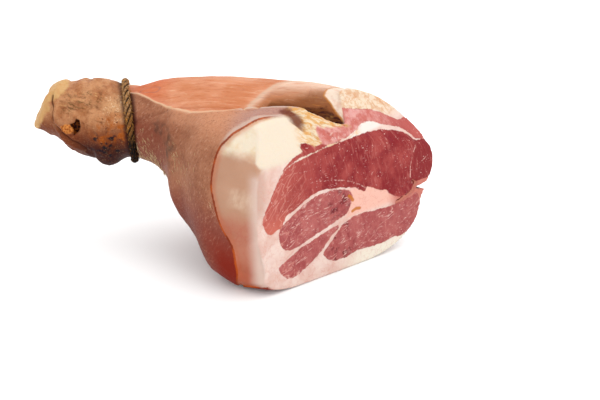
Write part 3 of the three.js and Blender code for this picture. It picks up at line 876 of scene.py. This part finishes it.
def measure(skin):
    """Where each corner lies: how far inside each region of the leg, in millimetres."""
    place = skin.place
    x, y, z = place.T
    plan, from_side = place[:, :2], place[:, (0, 2)]
    unrolled = on_skin(place)
    end_place, end_out = STUB_END
    where = {
        "pared": depth_in(unrolled, rounded(on_skin(TRIM + TRIM_BEYOND), 3)),
        "bare_top": depth_in(unrolled, rounded(on_skin(RIDGE + RIDGE_FAR), 3)),
        "behind": cut_planes(place).max(axis=0),
        "dried": np.minimum(depth_in(plan, DRIED), z - 125),
        "far_front": np.minimum(depth_in(plan, FAR_FRONT), z - 125),
        "dark_patch": distance_to_line(plan, DARK_PATCH),
        "stub": -(place - np.array(end_place)) @ (np.array(end_out) / np.linalg.norm(end_out)),
        "tear": depth_in(from_side, TEAR) - 30 * (y > 75),
        "flap": depth_in(from_side, FLAP) - 30 * (y > 75),
    }
    for name, line in {"olive": OLIVE, "lobe_line": LOBE_LINE, "smudge": SMUDGE, "lip": LIP_LINE}.items():
        where[name] = distance_to_line(unrolled, on_skin(line))
    where["cut"] = smooth(where["behind"], -2.4, -1.0)
    floor, reach = (np.interp(x, *zip(*line)) for line in (FOLD_FLOOR, DARK_REACH))
    past_tip = smooth(x, -42, -20)
    where["fold"] = (y - floor) / (0.25 + 0.75 * past_tip) + 40 * (1 - past_tip)
    where["mouth"] = where["fold"] / reach + 9 * smooth(-x, 18, 30)
    marks = [smooth(np.linalg.norm(place - np.array(at), axis=1), size, 0) for at, size in MOULD_MARKS]
    where["mould"] = np.max(marks, axis=0) * (0.6 + 0.4 * waves(place, 2.2, 14))
    where["tied"], where["past_string"] = from_string(place)
    measure_face(place, where)
    return where


def hock_relief(place, where):
    """Lumps and wrinkles, the raised lip of the skin, and the torn hole with its rim and flap."""
    x = place[:, 0]
    hock = smooth(-x, 168, 176)
    height = hock * (1.5 * waves(place, 15, 6) + 0.9 * waves(place, 7, 7) + 0.4 * waves(place, 3.5, 8))
    height -= LIP_GROOVE * bump(where["lip"], 1.7) * hock
    height += LIP_RISE * bump(where["lip"] - 4, 3) * hock * smooth(x, -230, -222)
    height += TEAR_RIM * bump(where["tear"] + 2, 2) * hock
    height -= TEAR_DEPTH * smooth(where["tear"], -0.5, 2) * hock
    height += FLAP_RISE * smooth(where["flap"], -1, 1.5) * hock
    return height + HOCK_WRINKLES * hock * waves(place, np.array([5, 30, 30]), 11)


def sculpt(skin, where):
    """Moves the surface in and out by the relief that is too fine for the frame's solids."""
    place, outward = skin.place, skin.outward()
    x = place[:, 0]
    off_face = 1 - where["cut"]
    rind = off_face * smooth(-where["pared"], -0.5, 0.5) * smooth(-where["bare_top"], -0.5, 0.5)
    height = RIND_WAVES * waves(place, 34, 1) * off_face
    height += RIND_RIPPLES * waves(place, 9, 2) * off_face
    height += RIND_PORES * waves(place, 3.2, 3) * rind
    height += RIND_EDGE * (rind - 0.5) * bump(where["pared"], 7) * smooth(x, -60, -50)
    height += RIDGE_LIP * bump(where["bare_top"] + 2.5, 3.2) * off_face * smooth(-x, -40, -10)
    height -= RIDGE_DROP * smooth(where["bare_top"], -0.5, 4) * bump(where["bare_top"], 14) * off_face
    grain = waves(place, np.array([34, 5, 5]), 4) + 0.6 * waves(place, np.array([18, 2.6, 2.6]), 5)
    height += TOP_GRAIN * grain * off_face * smooth(where["bare_top"], 0, 6)
    height += hock_relief(place, where)
    height += CUT_WAVES * waves(place, 12, 9) * where["cut"]
    height += CUT_RIPPLES * waves(place, 3, 10) * where["cut"]
    height -= MUSCLE_GROOVE * bump(where["lean"], 1.6) * where["cut"]
    height += MUSCLE_RISE * smooth(where["lean"], 0, 3) * where["cut"]
    height -= CRACK_DEPTH * bump(where["line_crack"], 1.8) * smooth(x, 60, 75)
    fold = bump(where["fold"], 7) * smooth(place[:, 2], 128, 136) * off_face
    height -= FOLD_DEPTH * fold
    height += DRIED_STREAKS * waves(place, np.array([7, 2.2, 9]), 12) * smooth(where["dried"], -2, 2)
    skin.place += height[:, None] * outward


def soften(skin):
    """Takes the facets off the frame's solids, then eases the edges of the cut."""
    planes = cut_planes(skin.place)
    cut = planes.max(axis=0)
    above_floor = smooth(skin.place[:, 2], 0.5, 4)
    skin.relax(smooth(-cut, 1, 9) * above_floor, FACET_SMOOTHING)
    shoulder = smooth(skin.place[:, 1], 55, 30) * smooth(skin.place[:, 2], 112, 126)
    near_side = smooth(skin.place[:, 1], 14, 6)
    near_edge = np.maximum(shoulder, near_side) * smooth(cut, -16, -8) * smooth(skin.place[:, 2], 2, 12)
    skin.relax(near_edge, EDGE_SMOOTHING)
    ordered = np.sort(planes, axis=0)
    crease = smooth(ordered[-1] - ordered[-2], 6, 1) * smooth(cut, -3, -1)
    skin.relax(crease, CREASE_SMOOTHING)


def build_ham():
    ham = joined_frame_mesh("ham_leg", ("rind_and_fat", "lean"))
    remesh(ham, VOXEL)
    skin = Surface(ham.data)
    soften(skin)
    knife_facets(skin, depth_in(on_skin(skin.place), on_skin(TRIM + TRIM_BEYOND)))
    where = measure(skin)
    sculpt(skin, where)
    skin.place = kept_inside(skin.place)
    skin.write()
    store(ham.data, "leg", skin.place)
    store(ham.data, "face", np.column_stack([on_face(skin.place), where["behind"]]))
    for name, values in where.items():
        store(ham.data, name, values)
    store(ham.data, "hollow", np.einsum("ij,ij->i", skin.hollowness(HOLLOW_ROUNDS), skin.outward()))
    dress(ham.data, ham_material())
    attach(ham, "root")
    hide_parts("rind_and_fat", "lean")
    return skin, where


# String round the neck: its ring in millimetres, and the three strands twisted into it.
STRING_MIDDLE = (-164.5, 95, 119.5)
STRING_TURN = math.radians(24)
STRING_LEAN = math.radians(85)
STRING_AXES = np.array(Matrix.Rotation(STRING_TURN, 3, "Z") @ Matrix.Rotation(STRING_LEAN, 3, "Y"))
STRING_REACH = 37.0
STRAND_COUNT = 3
STRAND_TWISTS = 9
STRAND_OFFSET = 1.75
STRAND_RADIUS = 1.95
YARNS = 5
YARN_TWISTS = 60
STRAND_STEPS = 900
STRAND_SIDES = 20


def new_piece(name, points, faces, material):
    """A mesh piece from places in millimetres on the leg."""
    mesh = bpy.data.meshes.new(name)
    mesh.from_pydata((np.asarray(points) * MM + np.array(CORNER)).tolist(), [], faces.tolist())
    dress(mesh, material)
    piece = add(name, mesh)
    store(mesh, "leg", points)
    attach(piece, "root")
    return piece


def string_place(around, out, side):
    """A place on the string's ring, moved outwards and sideways from its middle line."""
    reach = STRING_REACH + out
    flat = np.stack([reach * np.cos(around), reach * np.sin(around), side], axis=-1)
    return flat @ STRING_AXES.T + np.array(STRING_MIDDLE)


def strand(first):
    """One strand: a tube that winds round the string, grooved between its yarns."""
    around = np.linspace(0, 2 * math.pi, STRAND_STEPS, endpoint=False)[:, None]
    section = np.linspace(0, 2 * math.pi, STRAND_SIDES, endpoint=False)[None, :]
    wind = first - STRAND_TWISTS * around
    yarn = np.abs(np.sin(YARNS / 2 * (section + YARN_TWISTS / YARNS * around)))
    radius = STRAND_RADIUS * (0.86 + 0.16 * yarn)
    out = STRAND_OFFSET * np.cos(wind) + radius * np.cos(section)
    side = STRAND_OFFSET * np.sin(wind) + radius * np.sin(section)
    points = string_place(np.broadcast_to(around, out.shape), out, side).reshape(-1, 3)
    from_middle = np.hypot(out, side).ravel()
    a = np.arange(STRAND_STEPS * STRAND_SIDES).reshape(STRAND_STEPS, STRAND_SIDES)
    b = np.roll(a, -1, axis=1)
    faces = np.stack([a, np.roll(a, -1, axis=0), np.roll(b, -1, axis=0), b], axis=-1).reshape(-1, 4)
    return points, faces, from_middle


def build_string():
    points, faces, depths, count = [], [], [], 0
    for first in np.arange(STRAND_COUNT) / STRAND_COUNT * 2 * math.pi:
        strand_points, strand_faces, from_middle = strand(first)
        points.append(strand_points)
        depths.append(from_middle)
        faces.append(strand_faces + count)
        count += len(strand_points)
    piece = new_piece("string_twist", np.concatenate(points), np.concatenate(faces), string_material())
    store(piece.data, "from_middle", np.concatenate(depths))
    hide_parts("string")


def string_material():
    """Stained hemp: grey brown on top, in painted shade almost black below and dark between its strands,
    with yellow fibres.
    """
    paint = Paint("string_hemp")
    nodules = paint.patches(2.2, 0.26, 0.08, seed=72)
    colour = paint.layers(
        paint.mottle((196, 152, 108), (124, 86, 54), 1.6, 71, 0.35, 0.62),
        # Painted shade: browner below the top and almost black towards the bottom of the string.
        ((130, 82, 40), (paint.z, 146, 134), 0.7),
        ((24, 8, 4), (paint.z, 132, 108), 0.97),
        ((216, 140, 58), nodules, (paint.z, 96, 126), 0.85),
        # Painted shade in the grooves between the strands.
        ((36, 20, 12), ("from_middle", 3.1, 2.3), 0.9),
    )
    grain = paint.noise(0.7, 3, 0.6, seed=73)
    return paint.finish(colour, 0.85, grain, 0.0004, Specular_IOR_Level=0.08)


def hairs(roots, directions, lengths, thickness, droop):
    """Tapered hairs of three sides, each bending down towards its tip."""
    count, steps = len(roots), 4
    t = np.linspace(0, 1, steps)[None, :, None]
    down = np.array([0, 0, -1.0])
    lengths = lengths[:, None, None]
    middle = roots[:, None, :] + directions[:, None, :] * lengths * t + down * droop * lengths * t ** 2
    across = np.cross(directions, down)
    across /= np.linalg.norm(across, axis=1, keepdims=True) + 1e-9
    over = np.cross(across, directions)
    rings = []
    for angle in (0, 2 * math.pi / 3, 4 * math.pi / 3):
        offset = across * math.cos(angle) + over * math.sin(angle)
        rings.append(middle + offset[:, None, :] * thickness * (1.02 - t))
    points = kept_inside(np.stack(rings, axis=2))
    index = np.arange(count * steps * 3).reshape(count, steps, 3)
    a, b = index[:, :-1], index[:, 1:]
    sides = np.stack([a, np.roll(a, -1, axis=2), np.roll(b, -1, axis=2), b], axis=-1).reshape(-1, 4)
    return points.reshape(-1, 3), sides


# Hair: how many of each kind, the line that the tuft grows along, and the size of the hairs and of
# the string's loose fibres in millimetres.
NECK_BRISTLES = 320
TUFT_LINE = [(-96, 36, 122), (-88, 30, 108), (-80, 24, 118)]
TUFT_BRISTLES = 260
THIN_BRISTLES = 170
STRING_FIBRES = 520
BRISTLE_LENGTHS = (3.0, 7.5)
BRISTLE_THICKNESS = 0.28
BRISTLE_DROOP = 0.1
FIBRE_LENGTHS = (1.2, 4.2)
FIBRE_THICKNESS = 0.24
FIBRE_DROOP = 0.25
FIBRE_ROOTS = 3.2


def bristle_material():
    paint = Paint("bristle_blond")
    colour = paint.mix((255, 230, 184), (228, 182, 128), paint.noise(6, 2, 0.5, seed=75))
    return paint.finish(colour, 0.5, 0.5, 0.0001, Specular_IOR_Level=0.1)


def fibre_material():
    paint = Paint("string_fibre")
    colour = paint.mix((236, 178, 92), (150, 92, 36), paint.noise(5, 2, 0.5, seed=76))
    # Painted shade: the fibres darken towards the bottom of the string.
    colour = paint.mix(colour, (110, 58, 20), (paint.z, 126, 100), 0.8)
    return paint.finish(colour, 0.6, 0.5, 0.0001, Specular_IOR_Level=0.1)


def build_bristles(skin, where):
    """Blond bristles left in the rind: a stubble by the string, a tuft, and a few along the thigh."""
    rng = np.random.default_rng(5)
    place, outward = skin.place, skin.outward()
    x, _, z = place.T
    near_side = (outward[:, 1] < -0.2) & (where["bare_top"] < -3) & (where["pared"] < -4)
    neck = near_side & (x > -154) & (x < -112) & (z < 131) & (outward[:, 2] > -0.6) & (where["tied"] > 4)
    tuft = near_side & (distance_to_line(on_skin(place), on_skin(TUFT_LINE)) < 8)
    thin = near_side & (x > -112) & (x < -46) & (z > 84) & (z < 132)
    roots, directions = [], []
    for zone, count in ((neck, NECK_BRISTLES), (tuft, TUFT_BRISTLES), (thin, THIN_BRISTLES)):
        chosen = rng.choice(np.flatnonzero(zone), count)
        lie = np.array([0.62, 0, -0.62]) + rng.normal(0, 0.16, (count, 3)) + 0.22 * outward[chosen]
        roots.append(place[chosen] - 0.3 * outward[chosen])
        directions.append(lie / np.linalg.norm(lie, axis=1, keepdims=True))
    roots = np.concatenate(roots)
    lengths = rng.uniform(*BRISTLE_LENGTHS, len(roots))
    directions = np.concatenate(directions)
    points, faces = hairs(roots, directions, lengths, BRISTLE_THICKNESS, BRISTLE_DROOP)
    piece = new_piece("bristles", points, faces, bristle_material())


def build_string_fibres():
    """Loose fibres that stand out of the string."""
    rng = np.random.default_rng(6)
    around = rng.uniform(0, 2 * math.pi, STRING_FIBRES)
    section = rng.uniform(0, 2 * math.pi, STRING_FIBRES)
    out, side = np.cos(section), np.sin(section)
    roots = string_place(around, FIBRE_ROOTS * out, FIBRE_ROOTS * side)
    shifted = around + rng.normal(0, 0.05, STRING_FIBRES)
    tips = string_place(shifted, FIBRE_ROOTS * out + out, FIBRE_ROOTS * side + 1.6 * side)
    directions = tips - roots
    directions /= np.linalg.norm(directions, axis=1, keepdims=True)
    lengths = rng.uniform(*FIBRE_LENGTHS, STRING_FIBRES)
    points, faces = hairs(roots, directions, lengths, FIBRE_THICKNESS, FIBRE_DROOP)
    piece = new_piece("string_fibres", points, faces, fibre_material())


# The view, in metres: what the camera looks at, its turn, rise and distance, and its lens. Then the
# white floor, and each lamp's place, size and power.
LOOK_AT = Vector((0.09653, -0.04676, 0.08305))
CAMERA_TURN = math.radians(18)
CAMERA_RISE = math.radians(24)
CAMERA_AWAY = 1.7
LENS, SENSOR = 112.2, 36
FLOOR_REACH, FLOOR_LEVEL = 6.0, -0.0004
LAMPS = {"above": ((0.2, 0.45, 1.7), 1.8, 12), "right": ((1.5, -1.2, 0.8), 1.2, 9)}
STUDIO_BRIGHTNESS = 1.3


def make_camera():
    """The photograph's viewpoint: a long lens, a little to the right and above."""
    camera = add("camera", bpy.data.cameras.new("camera"))
    back = Vector((
        math.sin(CAMERA_TURN) * math.cos(CAMERA_RISE),
        -math.cos(CAMERA_TURN) * math.cos(CAMERA_RISE),
        math.sin(CAMERA_RISE),
    ))
    camera.location = LOOK_AT + back * CAMERA_AWAY
    camera.rotation_euler = (-back).to_track_quat("-Z", "Y").to_euler()
    camera.data.sensor_width = SENSOR
    camera.data.lens = LENS
    bpy.context.scene.camera = camera


def make_stage():
    """A plain white floor that fills the picture."""
    mesh = bpy.data.meshes.new("floor")
    sides = ((-1, -1), (1, -1), (1, 1), (-1, 1))
    corners = [(FLOOR_REACH * x, FLOOR_REACH * y, FLOOR_LEVEL) for x, y in sides]
    mesh.from_pydata(corners, [], [(0, 1, 2, 3)])
    floor = add("floor", mesh)
    white = bpy.data.materials.new("floor_white")
    white.use_nodes = True
    shader = white.node_tree.nodes["Principled BSDF"]
    shader.inputs["Base Color"].default_value = (0.93, 0.93, 0.93, 1)
    shader.inputs["Roughness"].default_value = 0.9
    mesh.materials.append(white)


def make_lights():
    """A bright even studio, with a soft lamp above and behind, and one that faces the cut."""
    for name, (place, size, power) in LAMPS.items():
        lamp = bpy.data.lights.new(name, "AREA")
        lamp.shape = "DISK"
        lamp.size = size
        lamp.energy = power
        piece = add(name, lamp)
        piece.location = place
        piece.rotation_euler = (-Vector(place)).to_track_quat("-Z", "Y").to_euler()
    world = bpy.data.worlds.new("studio")
    bpy.context.scene.world = world
    world.use_nodes = True
    background = world.node_tree.nodes["Background"]
    background.inputs["Color"].default_value = (1, 1, 1, 1)
    background.inputs["Strength"].default_value = STUDIO_BRIGHTNESS
    bpy.context.scene.view_settings.view_transform = "Standard"


skin, where = build_ham()
build_string()
build_string_fibres()
build_bristles(skin, where)
make_camera()
make_stage()
make_lights()
